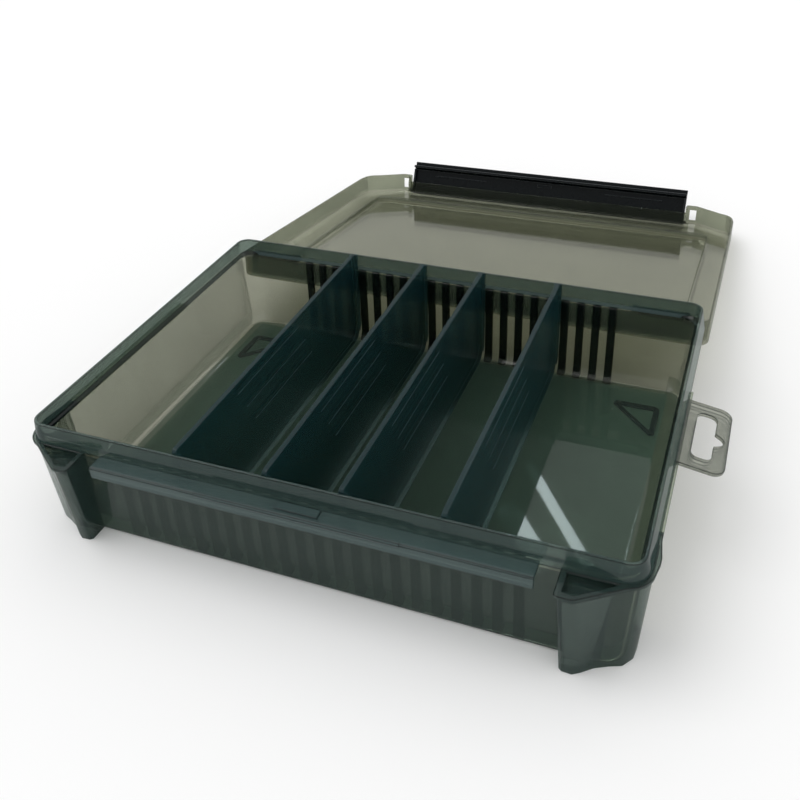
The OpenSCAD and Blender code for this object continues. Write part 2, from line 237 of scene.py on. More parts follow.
def mirrored(solid, axis=0):
    """The solid's twin across X = 0 or Y = 0."""
    points, faces = solid
    points = points.copy()
    points[:, axis] *= -1
    return points, [tuple(f)[::-1] for f in faces]


def pair(*solids):
    """Solids drawn on the right, with their left-hand twins."""
    return [*solids, *(mirrored(s) for s in solids)]


def turned(solid, angle, y, z):
    """The solid turned by angle degrees about an axis along X through (y, z)."""
    points, faces = solid
    a = math.radians(angle)
    dy, dz = points[:, 1] - y, points[:, 2] - z
    out = points.copy()
    out[:, 1] = y + dy * math.cos(a) - dz * math.sin(a)
    out[:, 2] = z + dy * math.sin(a) + dz * math.cos(a)
    return out, faces


def swung(solid):
    """A solid of the closed lid, laid open about the hinge."""
    return turned(solid, -OPEN_ANGLE, HINGE_Y, HINGE_Z)


# ---------- making Blender pieces ----------

def mesh_object(name, solids, finish=None):
    """One object, at the origin, that holds several closed solids; finish numbers the
    material of each face."""
    points, faces, start = [], [], 0
    for p, f in solids:
        points.append(p)
        faces += [[start + i for i in face] for face in f]
        start += len(p)
    mesh = bpy.data.meshes.new(name)
    mesh.from_pydata(np.concatenate(points) * MM, [], faces)
    mesh.validate()
    mesh.update()
    if finish is not None:
        for _ in range(int(max(finish)) + 1):
            mesh.materials.append(None)
        mesh.polygons.foreach_set("material_index", np.array(finish, np.int32))
    piece = bpy.data.objects.new(name, mesh)
    bpy.context.scene.collection.objects.link(piece)
    return piece


def carve(piece, solids, operation="DIFFERENCE"):
    """Cuts closed solids out of the piece, or joins them to it, as one skin."""
    cutter = mesh_object("cutter", solids)
    cut = piece.modifiers.new("cut", "BOOLEAN")
    cut.object, cut.operation, cut.solver = cutter, operation, "EXACT"
    cut.use_self = True
    shape = piece.evaluated_get(bpy.context.evaluated_depsgraph_get())
    done = bpy.data.meshes.new_from_object(shape)
    piece.modifiers.clear()
    piece.data = done
    bpy.data.objects.remove(cutter)


def lay_open(piece):
    """Swings open the points of a piece that was made where the closed lid is."""
    vertices = piece.data.vertices
    points = np.empty(len(vertices) * 3)
    vertices.foreach_get("co", points)
    opened, _ = swung((points.reshape(-1, 3) / MM, None))
    vertices.foreach_set("co", (opened * MM).ravel())
    piece.data.update()


def dress(piece, body, materials, bevel=0.0, sharp=35, replaces=None):
    """Smooth shading, rounded edges, body and materials of one piece; hides the part it replaces.
    Faces keep the numbers of their materials. With a bevel, the second material is that of the
    rounded edges."""
    mesh = piece.data
    finish = np.empty(len(mesh.polygons), np.int32)
    mesh.polygons.foreach_get("material_index", finish)
    mesh.materials.clear()
    for material in materials:
        mesh.materials.append(material)
    mesh.polygons.foreach_set("material_index", finish)
    mesh.polygons.foreach_set("use_smooth", np.ones(len(mesh.polygons), bool))
    mesh.set_sharp_from_angle(angle=math.radians(sharp))
    if bevel:
        edge = piece.modifiers.new("rounded edges", "BEVEL")
        edge.width, edge.segments = bevel * MM, 2
        edge.limit_method, edge.angle_limit = "ANGLE", math.radians(sharp)
        edge.harden_normals = True
        edge.use_clamp_overlap = True
        edge.material = 1 if len(materials) > 1 else -1
    level = piece.modifiers.new("flat faces stay flat", "WEIGHTED_NORMAL")
    level.keep_sharp = True
    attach(piece, body)
    if replaces:
        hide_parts(replaces)


# ---------- materials ----------

def linear(hex_colour):
    """sRGB hex to linear RGBA: c / 12.92, or ((c + 0.055) / 1.055)^2.4 above 0.04045."""
    c = np.array([int(hex_colour[i:i + 2], 16) / 255 for i in (1, 3, 5)])
    c = np.where(c <= 0.04045, c / 12.92, ((c + 0.055) / 1.055) ** 2.4)
    return (*c.tolist(), 1.0)


def new_material(name):
    """An empty node material and its tree."""
    material = bpy.data.materials.new(name)
    material.use_nodes = True
    material.node_tree.nodes.clear()
    return material, material.node_tree


def node(tree, kind, settings=(), inputs=(), links=()):
    """Adds a node; settings are attributes, inputs socket values, links sockets."""
    made = tree.nodes.new(kind)
    for key, value in dict(settings).items():
        setattr(made, key, value)
    for key, value in dict(inputs).items():
        made.inputs[key].default_value = value
    for key, source in dict(links).items():
        tree.links.new(source, made.inputs[key])
    return made


def object_noise(tree, size_mm, detail=3.0):
    """Noise on Object coordinates whose lumps are size_mm across, as a factor."""
    where = node(tree, "ShaderNodeTexCoord")
    return node(tree, "ShaderNodeTexNoise",
                inputs={"Scale": 1 / (size_mm * MM), "Detail": detail, "Roughness": 0.55},
                links={"Vector": where.outputs["Object"]}).outputs["Fac"]


def spread(tree, factor, low, high):
    """The middle of a noise factor, 0.3..0.7, mapped to low..high."""
    return node(tree, "ShaderNodeMapRange",
                inputs={"From Min": 0.3, "From Max": 0.7, "To Min": low, "To Max": high},
                links={"Value": factor}).outputs["Result"]


FLOW_MM, MARKS_MM = 25, 4           # flow marks and handling marks in the smoke plastic
PLASTIC_IOR = 1.49
SATIN_MM, SATIN_DEEP, STAIN_MM = 0.8, 0.05, 5       # black parts' texture and dull patches


def smoke_plastic(name, tint, body, haze, gloss, rough=(0.05, 0.12), haze_change=0.02,
                  slanted=0.45):
    """Moulded translucent polypropylene, tinted smoke grey: part of the light goes
    through in the tint's colour, the share haze is scattered in the body's colour, and
    gloss scales the mirror-like layer over both. Seen edge-on, where the way through is
    long, the scattered share grows by slanted x facing^6. Flow marks change the haze by
    haze_change and handling marks the roughness within rough."""
    material, tree = new_material(name)
    flow = object_noise(tree, FLOW_MM, 2.0)
    marks = object_noise(tree, MARKS_MM, 4.0)
    skin = node(tree, "ShaderNodeBsdfDiffuse",
                inputs={"Color": linear(body), "Roughness": 0.4})
    through = node(tree, "ShaderNodeBsdfTransparent", inputs={"Color": linear(tint)})
    share = spread(tree, flow, haze - haze_change, haze + haze_change)
    facing = node(tree, "ShaderNodeLayerWeight", inputs={"Blend": 0.5})
    slant = node(tree, "ShaderNodeMath", {"operation": "POWER"}, inputs={1: 6.0},
                 links={0: facing.outputs["Facing"]})
    share = node(tree, "ShaderNodeMath", {"operation": "MULTIPLY_ADD", "use_clamp": True},
                 inputs={1: slanted}, links={0: slant.outputs[0], 2: share}).outputs[0]
    inner = node(tree, "ShaderNodeMixShader",
                 links={0: share, 1: through.outputs[0], 2: skin.outputs[0]})
    mirror = node(tree, "ShaderNodeBsdfGlossy", inputs={"Color": (1, 1, 1, 1)},
                  links={"Roughness": spread(tree, marks, *rough)})
    edge = node(tree, "ShaderNodeFresnel", inputs={"IOR": PLASTIC_IOR})
    amount = node(tree, "ShaderNodeMath", {"operation": "MULTIPLY", "use_clamp": True},
                  inputs={1: gloss}, links={0: edge.outputs[0]})
    mix = node(tree, "ShaderNodeMixShader",
               links={0: amount.outputs[0], 1: inner.outputs[0], 2: mirror.outputs[0]})
    node(tree, "ShaderNodeOutputMaterial", links={"Surface": mix.outputs[0]})
    return material


def smoke(part, *look, **more):
    """Smoke plastic as it looks on one part of the tray or the lid."""
    return smoke_plastic(f"smoke_polypropylene_{part}", *look, **more)


def black_plastic(name, body, shine, rough=(0.22, 0.38)):
    """Moulded black plastic or rubber with a fine satin texture and dull patches; shine
    is its specular level."""
    material, tree = new_material(name)
    relief = node(tree, "ShaderNodeBump", inputs={"Strength": 0.1, "Distance": SATIN_DEEP * MM},
                  links={"Height": object_noise(tree, SATIN_MM, 2.0)})
    skin = node(tree, "ShaderNodeBsdfPrincipled",
                inputs={"Base Color": linear(body), "Specular IOR Level": shine},
                links={"Roughness": spread(tree, object_noise(tree, STAIN_MM), *rough),
                       "Normal": relief.outputs["Normal"]})
    node(tree, "ShaderNodeOutputMaterial", links={"Surface": skin.outputs[0]})
    return material


# Tray. Each gives the tint of what shows through, the colour of the haze, its share, the
# gloss and the roughness.
# walls, polished: pale, with what stands behind them showing through
SMOKE_WALL = smoke("wall", "#e6e7dc", "#51574d", 0.3, 0.5)
# floor, the smoothest: bluer than the walls, with sharp glints
SMOKE_FLOOR = smoke("floor", "#c3d0c6", "#4d5e58", 0.28, 0.5, (0.015, 0.03))
# fillet into the floor along the right and its corners: hazier than the wall, a milky band of
# painted light on this side only
SMOKE_FILLET_PAINTED = smoke("fillet", "#d4d8ca", "#4e564c", 0.42, 0.5)
# underside, rubbed dull: hardly any shine
SMOKE_BASE = smoke("base", "#c3d0c6", "#40504a", 0.2, 0.03)
# rear slot ribs and hinge pins, solid plastic: dark against the wall
SMOKE_RIB = smoke("rib", "#a9b0a4", "#121a18", 0.62, 0.35)
# front slot ribs, seen through the front wall: paler than the rear ribs of the same plastic,
# painted light that makes them faint
SMOKE_RIB_FRONT_LIT = smoke("front_rib_painted_light", "#d0d6cc", "#2e3936", 0.3, 0.3)
# front wall's outside: hazier and darker than the other walls of the same plastic, a painted shade
SMOKE_FRONT_SHADE = smoke("front_wall_painted_shade", "#c4cec6", "#36433f", 0.6, 0.4)
# step over the rear ribs and the hinge knuckles, thick plastic: the haziest blue-grey
SMOKE_STEP = smoke("step", "#c8d4cc", "#4e5f5f", 0.8, 0.4)
# hollow corner posts and the ledge over them: half clear, blue-grey
SMOKE_POST = smoke("post", "#cbd6ce", "#334543", 0.42, 0.45, slanted=0.15)
# flared lip, polished: a little hazier than the walls
SMOKE_LIP = smoke("lip", "#d2dcd4", "#3d5250", 0.4, 0.5)
# faces buried in the wall, where the plastic is one: nothing shows
CLEAR = smoke_plastic("clear_inside_the_wall", "#ffffff", "#ffffff", 0.0, 0.0,
                      haze_change=0.0, slanted=0.0)
# thin ledge along the sides: the clearest that shows
SMOKE_LEDGE = smoke("side_ledge", "#e6ebe0", "#4c5a54", 0.16, 0.5)
# latch rail, polished: hazy, and shinier than the walls
SMOKE_RAIL = smoke("rail", "#c3cec9", "#465a5a", 0.55, 0.6)
# rounded edges: dark outlines, as light runs far through the plastic there
SMOKE_EDGE = smoke("edge", "#8f9a94", "#18211f", 0.75, 0.5)
# hang tab, the glossiest, and pale
SMOKE_TAB = smoke("tab", "#e3e5dc", "#4c524e", 0.28, 0.8)

# Lid, warmer than the tray
# panel and border, polished: clear, with the floor showing through
SMOKE_LID = smoke("lid", "#d7d8cc", "#565b50", 0.17, 0.5, (0.03, 0.09))
# skirt: darker than the panel
SMOKE_LID_WALL = smoke("lid_wall", "#cfd2c4", "#3c433c", 0.22, 0.4, (0.05, 0.1))
# skirt by the hinge: hazier and bluer
SMOKE_LID_REAR = smoke("lid_rear", "#c2d2cc", "#3a5450", 0.4, 0.4)
# step round the raised panel: a darker line
SMOKE_LID_STEP = smoke("lid_step", "#c2c6ba", "#454b43", 0.24, 0.5)

# Dividers, satin: dark blue-green, half see-through, with paler rounded edges that are a painted
# highlight; the moulded lines take the same colour
DIVIDER_BLUE = smoke_plastic("tinted_polypropylene_divider", "#bccfca", "#18393e", 0.44, 0.4,
                             (0.2, 0.2), 0.0)
DIVIDER_EDGE_HIGHLIGHT = smoke_plastic("tinted_polypropylene_divider_edge_highlight", "#7fa0a2", "#34494d", 0.85,
                             0.45, (0.3, 0.4))

# latch, satin ABS: near black with a weak sheen
LATCH_BLACK = black_plastic("black_abs_latch", "#0a0f11", 0.1)
# its edges: grey lines round the black, a painted highlight
LATCH_EDGE_HIGHLIGHT = black_plastic("black_abs_latch_edge_highlight", "#34383a", 0.3)
# feet, moulded rubber: black without shine
FOOT_BLACK = black_plastic("black_rubber_foot", "#0d100f", 0.1, (0.6, 0.8))


# ---------- tray ----------

T_WALL, T_EDGE, T_FLOOR, T_LIP, T_FRONT, T_STEP, T_BASE, T_FILLET = range(8)
TRAY_FINISH = (SMOKE_WALL, SMOKE_EDGE, SMOKE_FLOOR, SMOKE_LIP, SMOKE_FRONT_SHADE, SMOKE_STEP,
               SMOKE_BASE, SMOKE_FILLET_PAINTED)


def tray_shell():
    """One skin, ring by ring: base, outer walls, ledge step, flared lip, inner walls and
    floor, with the number of each face's material in TRAY_FINISH. The base's edge and
    the fillet are quarter circles, r (1 - sin a) in and r (1 - cos a) up."""
    rings = []
    for a in np.radians(np.linspace(0, 90, 5)):
        s = BASE_EDGE * (1 - math.sin(a))
        z = BASE_EDGE * (1 - math.cos(a))
        rings.append(at_height(wall_ring(z, s, OUTER_R - s), z))
    low = LEDGE_Z - LEDGE_T
    rings.append(at_height(wall_ring(low - BREAK, 0, OUTER_R), low - BREAK))
    wall_top = len(rings) - 1
    ledge = lambda out: rounded(LEDGE_X - out, LEDGE_FRONT + out,
                                Y_LIP - out * LEDGE_REAR_SHARE, CORNER_R + 2)
    rings += [at_height(ledge(BREAK), low), at_height(ledge(0), low + BREAK),
              at_height(ledge(0), LEDGE_Z - 0.2), at_height(ledge(0.15), LEDGE_Z + 0.1)]
    ledge_top = len(rings) - 1
    lip = lambda t: rounded(X_LIP - t, -Y_LIP + t, Y_LIP - t, CORNER_R - 1 - t)
    for t, z in LIP_EDGE:
        rings.append(at_height(lip(t), TRAY_H - z))
    lip_top = len(rings) - 1
    rings.append(at_height(lip(LIP_T + LIP_FOOT[0]), LEDGE_Z + LIP_FOOT[1]))
    for short, z in STEP_EDGE:
        rings.append(at_height(wall_ring(LEDGE_Z, WALL - short, CORNER_R), LEDGE_Z + z))
    strips = 8
    for a in np.radians(np.linspace(90, 0, strips + 1)):
        z = WALL + FLOOR_R * (1 - math.cos(a))
        s = FLOOR_R * (1 - math.sin(a))
        rings.append(at_height(wall_ring(z, WALL + s, max(CORNER_R - s, FLOOR_CORNER)), z))
    finish = np.full(len(rings) - 1, T_WALL)
    finish[ledge_top:lip_top + 1] = T_LIP
    finish[[ledge_top - 1, ledge_top + 1, lip_top - 1, lip_top + 1, lip_top + 2]] = T_EDGE
    finish[-1] = T_FLOOR
    # round each ring: right front corner, right side, ..., rear at 2 side - 1, front last
    side = len(rings[0]) // 4
    finish = np.repeat(finish[:, None], 4 * side, 1)
    # the front wall's outside takes the painted shade
    finish[:wall_top, -1] = T_FRONT
    finish[lip_top + 1:lip_top + 3, 2 * side - 1] = T_STEP
    # painted light: the milky fillet band, along the right and its corners only
    finish[-strips:-1, :2 * side - 1] = T_FILLET
    return loft(rings), np.append(finish.ravel(), (T_BASE, T_FLOOR))


def slot_rib(x, side):
    """One rib of the divider slots: a round-cornered section carried up the wall through
    RIB_PROFILE. side is -1 on the front wall, 1 on the rear."""
    half, r = RIB_W / 2, RIB_ROUND
    rings = []
    for z, depth in RIB_PROFILE:
        face = Y_FRONT + WALL if side < 0 else Y_REAR - WALL - REAR_DRAFT * (1 - z / LEDGE_Z)
        d = max(depth - r, 0)
        section = np.concatenate([[[-half, -RIB_ROOT], [half, -RIB_ROOT]],
                                  arc(half - r, d, r, 0, 90, 4), arc(-half + r, d, r, 90, 180, 4)])
        section[:, 1] = np.minimum(section[:, 1], depth)
        outline = np.column_stack([x + section[:, 0], face - side * section[:, 1]])
        rings.append(at_height(outline, z))
    return loft(rings)


# right-hand corner post, seen from above: its outer face at the top and at the base, the
# hollow that opens below, and the recess in its top
POST_TOP = [[97.4, -98.2], [98.6, -99], [102.3, -99], [104.6, -97.9], [111.6, -93.1],
            [117.2, -89.2], [122.2, -86.2], [125, -82], [125.8, -76], [125.8, -66]]
POST_BASE = [[98.6, -93.6], [99.8, -94.6], [103.5, -94.8], [106.1, -93.2], [110.4, -89.7],
             [115, -87.4], [119.4, -85.6], [122.4, -81.4], [123, -76.5], [123, -66]]
HOLLOW_TOP = [[99, -88.8], [99, -97], [102.3, -97.4], [113.4, -90], [114.2, -88.8]]
HOLLOW_BASE = [[99.8, -88.8], [100.2, -92.9], [103.2, -93.2], [108, -89.6], [108.4, -88.8]]
POST_DISH = [[99, -88.6], [99, -97], [102.8, -97.6], [112.6, -91], [115.6, -88.6]]
POST_BACK = -66                     # where the outer face meets the side wall
POST_H, POST_REACH = LEDGE_Z - 0.8, LEDGE_Z - 0.5   # height; where the face would be POST_TOP
HOLLOW_H, DISH_DEEP = LEDGE_Z - 4.8, 3.2    # top of the hollow, depth of the recess

# corner of the case, shared by the ledge over the post and the lid
NOSE = np.concatenate([arc(97.9, -NOSE_Y + 1.5, 1.5, 180, 270, 6),
                       arc(102.2, -NOSE_Y + 3, 3, -90, -55, 6)])
CHEEK = np.concatenate([[[118.7, -89.4]], arc(116, -79, 10.6, -65, -15, 10), [[X_CASE, -75]]])

TAPER_FROM, TAPER_TO = -72, -64     # the ledge narrows from X_CASE to SIDE_X
SIDE_START, SIDE_END = -60.0, 26    # the thin ledge along the side


def wall_root(z, y_end, x_end):
    """Path inside the wall's thickness, from the side at y_end round the corner to x_end."""
    x = X_WALL - SIDE_DRAFT * (1 - z / LEDGE_Z)
    return np.concatenate([
        [[x - WALL_MID, y_end]],
        arc(x - OUTER_R, Y_FRONT + OUTER_R, OUTER_R - WALL_MID, 0, -90, 8),
        [[x_end, Y_FRONT + WALL_MID]]])


def post_solid():
    """Corner post: its outer face goes from POST_BASE to POST_TOP in proportion to z, its
    back follows the wall. Also the material of each face: 0, or 2 inside the wall."""
    rings = []
    for z in np.linspace(0, POST_H, 7):
        f = z / POST_REACH
        path = (1 - f) * np.array(POST_BASE) + f * np.array(POST_TOP)
        outline = np.concatenate([path, wall_root(z, POST_BACK, path[0, 0])])
        rings.append(at_height(outline, z))
    inside = np.arange(len(outline)) >= len(path)
    inside[-1] = False
    return loft(rings), np.append(np.tile(np.where(inside, 2, 0), len(rings) - 1), (0, 0))


def post_plate():
    """Ledge over the post, tapering to the narrow one along the side."""
    outline = np.concatenate([
        NOSE, CHEEK, [[X_CASE, TAPER_FROM], [SIDE_X, TAPER_TO], [SIDE_X, SIDE_START]],
        wall_root(LEDGE_Z, SIDE_START, CHEEK_X)])
    return prism_z(outline, LEDGE_Z - LEDGE_T, LEDGE_Z)


def side_ledge():
    """Narrow ledge along the side wall, behind the post's plate."""
    root = X_WALL - WALL_MID
    return prism_z([[root, SIDE_START], [SIDE_X, SIDE_START], [SIDE_X, SIDE_END],
                    [root, SIDE_END]], LEDGE_Z - LEDGE_T, LEDGE_Z)


TAB_FRONT, TAB_REAR, TAB_REACH, TAB_ROUND, TAB_DROOP = -21.5, 20.0, 16.4, 5, 10
TAB_X, TAB_ROOT = X_CASE - 0.4, 2.5     # where it starts, how far it goes in from there
TAB_MIDDLE = np.array([7.0, -1.2])      # inside the slot, where the rays start
SLOT_IN, SLOT_OUT, SLOT_FRONT, SLOT_REAR, SLOT_R = 5.6, 8, -12, 10.5, 2.8
NOTCH_X, NOTCH_Y, NOTCH_R, NOTCH_EDGE = 11.2, -1.4, 3.2, 10.8


def hang_tab():
    """Drooping tab with a rounded slot that has a round notch at its outer side."""
    droop = math.radians(TAB_DROOP)
    corner_x = TAB_REACH - TAB_ROUND
    outer = np.concatenate([
        [[-TAB_ROOT, TAB_REAR], [-TAB_ROOT, TAB_FRONT]],
        arc(corner_x, TAB_FRONT + TAB_ROUND, TAB_ROUND, -90, 0, 8),
        arc(corner_x, TAB_REAR - TAB_ROUND, TAB_ROUND, 0, 90, 8)])
    slot = np.concatenate([
        arc(SLOT_IN, SLOT_FRONT, SLOT_R, 180, 270, 6), arc(SLOT_OUT, SLOT_FRONT, SLOT_R, -90, 0, 6),
        [[NOTCH_EDGE, NOTCH_Y - 4]], arc(NOTCH_X, NOTCH_Y, NOTCH_R, -60, 60, 8),
        [[NOTCH_EDGE, NOTCH_Y + 4]],
        arc(SLOT_OUT, SLOT_REAR, SLOT_R, 0, 90, 6), arc(SLOT_IN, SLOT_REAR, SLOT_R, 90, 180, 6)])
    points, faces = framed(outer, slot, TAB_MIDDLE, -LEDGE_T, 0)
    x, z = points[:, 0].copy(), points[:, 2].copy()
    points[:, 0] = TAB_X + x * math.cos(droop) + z * math.sin(droop)
    points[:, 2] = LEDGE_Z - x * math.sin(droop) + z * math.cos(droop)
    return points, faces


RAIL_T = 1.6                        # the rail's turned-down face
BAR_X, PAD_X, PAD_Y = 41.3, 8.7, (-92.6, -88.4)     # raised bar and small pad on the rail
# the raised bar: behind the rail's face, above its top
RAIL_BAR = ((1.3, -0.4), (1.1, 0.5), (0.1, 0.5), (-0.3, -0.6), (0.4, -2.4))


def latch_rail():
    """Flange with a turned-down face, its raised bar and a small pad."""
    root = Y_FRONT + WALL_MID
    face, top, low = -RAIL_Y, LEDGE_Z, LEDGE_Z - RAIL_H
    rail = prism_x([[root, top], [face + 0.5, top], [face, top - 0.5], [face, low + BREAK],
                    [face + BREAK, low], [face + RAIL_T, low], [face + RAIL_T, top - LEDGE_T],
                    [root, top - LEDGE_T]], -RAIL_X, RAIL_X)
    bar = prism_x([[face + y, top + z] for y, z in RAIL_BAR], -BAR_X, BAR_X)
    pad = block([-PAD_X, PAD_Y[0], top - 0.4], [PAD_X, PAD_Y[1], top + 0.6])
    return [rail, bar, pad]


def hinge_pin():
    """Two ears rooted in the rear wall and the pin between them."""
    root, pin_root = Y_REAR - WALL_MID, 0.5
    ears = [prism_x(np.concatenate([[[root, LEDGE_Z]], arc(HINGE_Y, HINGE_Z, EAR_R, 90, -90, 10),
                                    [[root, HINGE_Z - EAR_R]]]), x, x + EAR_T)
            for x in (HINGE_IN - EAR_T, HINGE_OUT)]
    return [*ears, rod_x(HINGE_IN - pin_root, HINGE_OUT + pin_root, HINGE_Y, HINGE_Z, PIN_R)]


tray_solid, tray_finish = tray_shell()
dress(mesh_object("tray_shell", [tray_solid], tray_finish), "tray", TRAY_FINISH,
      sharp=50, replaces="tray")

rib_x = (np.arange(RIBS) - (RIBS - 1) / 2) * RIB_PITCH
for side, name, material in ((-1, "front", SMOKE_RIB_FRONT_LIT), (1, "rear", SMOKE_RIB)):
    ribs = mesh_object(f"tray_slot_ribs_{name}", [slot_rib(x, side) for x in rib_x])
    dress(ribs, "tray", [material], sharp=50)

for side, name in ((1, "right"), (-1, "left")):
    twin = (lambda s: s) if side > 0 else mirrored
    post_shape, inside = post_solid()
    post = mesh_object(f"tray_post_{name}", [twin(post_shape)], inside)
    hollow = loft([at_height(np.array(HOLLOW_BASE), -1.0),
                   at_height(np.array(HOLLOW_TOP), HOLLOW_H)])
    dish = prism_z(POST_DISH, LEDGE_Z - DISH_DEEP, LEDGE_Z + 1)
    carve(post, [twin(hollow)])
    carve(post, [twin(dish)])
    dress(post, "tray", (SMOKE_POST, SMOKE_EDGE, CLEAR), bevel=0.35)
    plate = mesh_object(f"tray_post_plate_{name}", [twin(post_plate())])
    carve(plate, [twin(dish)])
    dress(plate, "tray", (SMOKE_POST, SMOKE_EDGE), bevel=0.35)
    ledge = mesh_object(f"tray_side_ledge_{name}", [twin(side_ledge())])
    dress(ledge, "tray", [SMOKE_LEDGE], bevel=0.35)

for name, solids, skin, bevel in (
        ("tray_latch_rail", latch_rail(), SMOKE_RAIL, 0.2),
        ("tray_hang_tab", [hang_tab()], SMOKE_TAB, 0.25),
        ("tray_hinge_pins", pair(*hinge_pin()), SMOKE_RIB, 0.2)):
    dress(mesh_object(name, solids), "tray", (skin, SMOKE_EDGE), bevel=bevel)

# ---------- feet ----------

FOOT_X, FOOT_Y, FOOT_L, FOOT_BAND, FOOT_T = 110.4, 66.4, 25.0, 2.5, 1.1
FOOT_ROUND, FOOT_HOLE_ROUND = 3, 1.5
FOOT_TIP = np.array([[4, 0], [3, -2]])      # how each long tip is cut off


def foot_ring():
    """Triangular ring with a square corner towards the case's corner."""
    outer = np.concatenate([
        arc(FOOT_X - FOOT_ROUND, FOOT_Y - FOOT_ROUND, FOOT_ROUND, 0, 90, 6),
        [FOOT_X - FOOT_L, FOOT_Y] + FOOT_TIP, [FOOT_X, FOOT_Y - FOOT_L] + FOOT_TIP[::-1, ::-1]])
    leg = FOOT_L - FOOT_BAND * (2 + math.sqrt(2))
    x, y = FOOT_X - FOOT_BAND, FOOT_Y - FOOT_BAND
    hole = soften([[x, y], [x - leg, y], [x, y - leg]], FOOT_HOLE_ROUND)
    return framed(outer, hole, np.array([x - leg * 0.3, y - leg * 0.3]), 0, FOOT_T)


for end, sy in (("front", -1), ("rear", 1)):
    for hand, sx in (("left", -1), ("right", 1)):
        ring = foot_ring()
        ring = mirrored(ring, 0) if sx < 0 else ring
        ring = mirrored(ring, 1) if sy < 0 else ring
        foot = mesh_object(f"foot_ring_{end}_{hand}", [ring])
        dress(foot, "tray", [FOOT_BLACK], bevel=0.2, replaces=f"foot_{end}_{hand}")

# ---------- lid, drawn closed and swung open ----------

L_PANEL, L_STEP, L_SKIRT, L_REAR = range(4)
LID_FINISH = (SMOKE_LID, SMOKE_LID_STEP, SMOKE_LID_WALL, SMOKE_LID_REAR)
LID_REAR = HINGE_Y + 1
RIM_EDGE = 0.25                     # rounding of the rim
TOP_IN, TOP_DOWN = 1.0, 1.2         # rounding of the outer top edge
PANEL_R_OUT, PANEL_R_IN = 8, 6.5    # corners of the raised panel, outside and inside
# the panel's edge, outside: out from its inner outline, above the lid's top
PANEL_OUTSIDE = ((2.6, 0), (2.1, 0.15), (1.5, PANEL_RISE - 0.6), (1.2, PANEL_RISE - 0.15),
                 (0.7, PANEL_RISE))
# and inside: out from the same outline, above the panel's inside
PANEL_INSIDE = ((-0.6, 0), (0, -0.5), (0.3, -PANEL_RISE + 0.3), (0.7, -PANEL_RISE))
# the border's inner edge: in from the skirt, above the border's inside
BORDER_EDGE = ((0.5, 0), (0.15, -0.15), (0, -0.6))
WINDOW_X, WINDOW_BACK, WINDOW_DOWN, WINDOW_UP = (98.8, 103), -96, 5, 2
EAR_GAP, KNUCKLE_GAP, PIN_GAP = 0.7, 0.3, 0.08
CHEEK_HOLE = 96, 99                 # the latch's pivot hole runs between these


def lid_outline():
    """The lid seen from above: front wall, noses over the posts, sides, rear corners."""
    right = np.concatenate([[[CHEEK_X, FRONT_Y], [CHEEK_X, FRONT_Y - 0.15]], NOSE, CHEEK,
                            arc(X_CASE - CORNER_R, LID_REAR - CORNER_R, CORNER_R, 0, 90, 10)])
    return both_sides(right)


def panel_ring(outline, x, y0, y1, r):
    """Rounded rectangle met by rays from the middle through the outline's points."""
    angles = np.unwrap(np.arctan2(outline[:, 1], outline[:, 0]))
    return rays(rounded(x, y0, y1, r), np.zeros(2), np.maximum.accumulate(angles))


def lid_shell():
    """One skin from the middle of the panel's inside, over the border's inside, down the
    skirt, round the rim and back over the outside, with the number of each face's
    material in LID_FINISH."""
    p = lid_outline()
    between = (np.abs(p[:, 0]) <= CHEEK_X + 0.01) & (p[:, 1] > FRONT_Y - 0.05) & (p[:, 1] < 0)
    rim = np.where(between, FRONT_LOW, RIM_Z)
    panel = lambda out, r: panel_ring(p, PANEL_X + out, PANEL_FRONT - out, PANEL_REAR + out, r)
    rings = [at_height(inset_outline(p, SKIRT_T - RIM_EDGE), rim),
             at_height(inset_outline(p, RIM_EDGE), rim),
             at_height(p, rim + RIM_EDGE), at_height(p, TOP_Z - TOP_DOWN)]
    for a in np.radians((30, 60, 90)):
        rings.append(at_height(inset_outline(p, TOP_IN * (1 - math.cos(a))),
                               TOP_Z - TOP_DOWN + TOP_DOWN * math.sin(a)))
    for out, z in PANEL_OUTSIDE:
        rings.append(at_height(panel(out, PANEL_R_OUT), TOP_Z + z))
    outside = len(rings)
    for out, z in PANEL_INSIDE:
        rings.append(at_height(panel(out, PANEL_R_IN), BORDER_Z + PANEL_RISE + z))
    for t, z in BORDER_EDGE:
        rings.append(at_height(inset_outline(p, SKIRT_T + t), BORDER_Z + z))
    rings.append(at_height(inset_outline(p, SKIRT_T), rim + RIM_EDGE))
    rings = rings[outside:] + rings[:outside]
    rim_ring = len(rings) - outside
    skirt = slice(rim_ring - 2, rim_ring + 3)
    finish = np.full((len(rings) - 1, len(p)), L_PANEL)
    finish[1:3] = L_STEP
    finish[skirt] = L_SKIRT
    finish[skirt, len(p) // 2 - 1] = L_REAR
    return loft(rings), np.append(finish.ravel(), (L_PANEL, L_PANEL))


def lid_cuts():
    """What is cut out of the lid: windows beside the latch, room for the hinge's ears and
    the latch's pivot holes."""
    windows = pair(block([WINDOW_X[0], -NOSE_Y - 1, TRAY_H - WINDOW_DOWN],
                         [WINDOW_X[1], WINDOW_BACK, TRAY_H + WINDOW_UP]))
    ears = pair(*[rod_x(x - KNUCKLE_GAP, x + EAR_T + KNUCKLE_GAP, HINGE_Y, HINGE_Z, EAR_R + EAR_GAP)
                  for x in (HINGE_IN - EAR_T, HINGE_OUT)])
    return windows + ears + pair(rod_x(*CHEEK_HOLE, PIVOT_Y, PIVOT_Z, 1 + PIN_GAP))


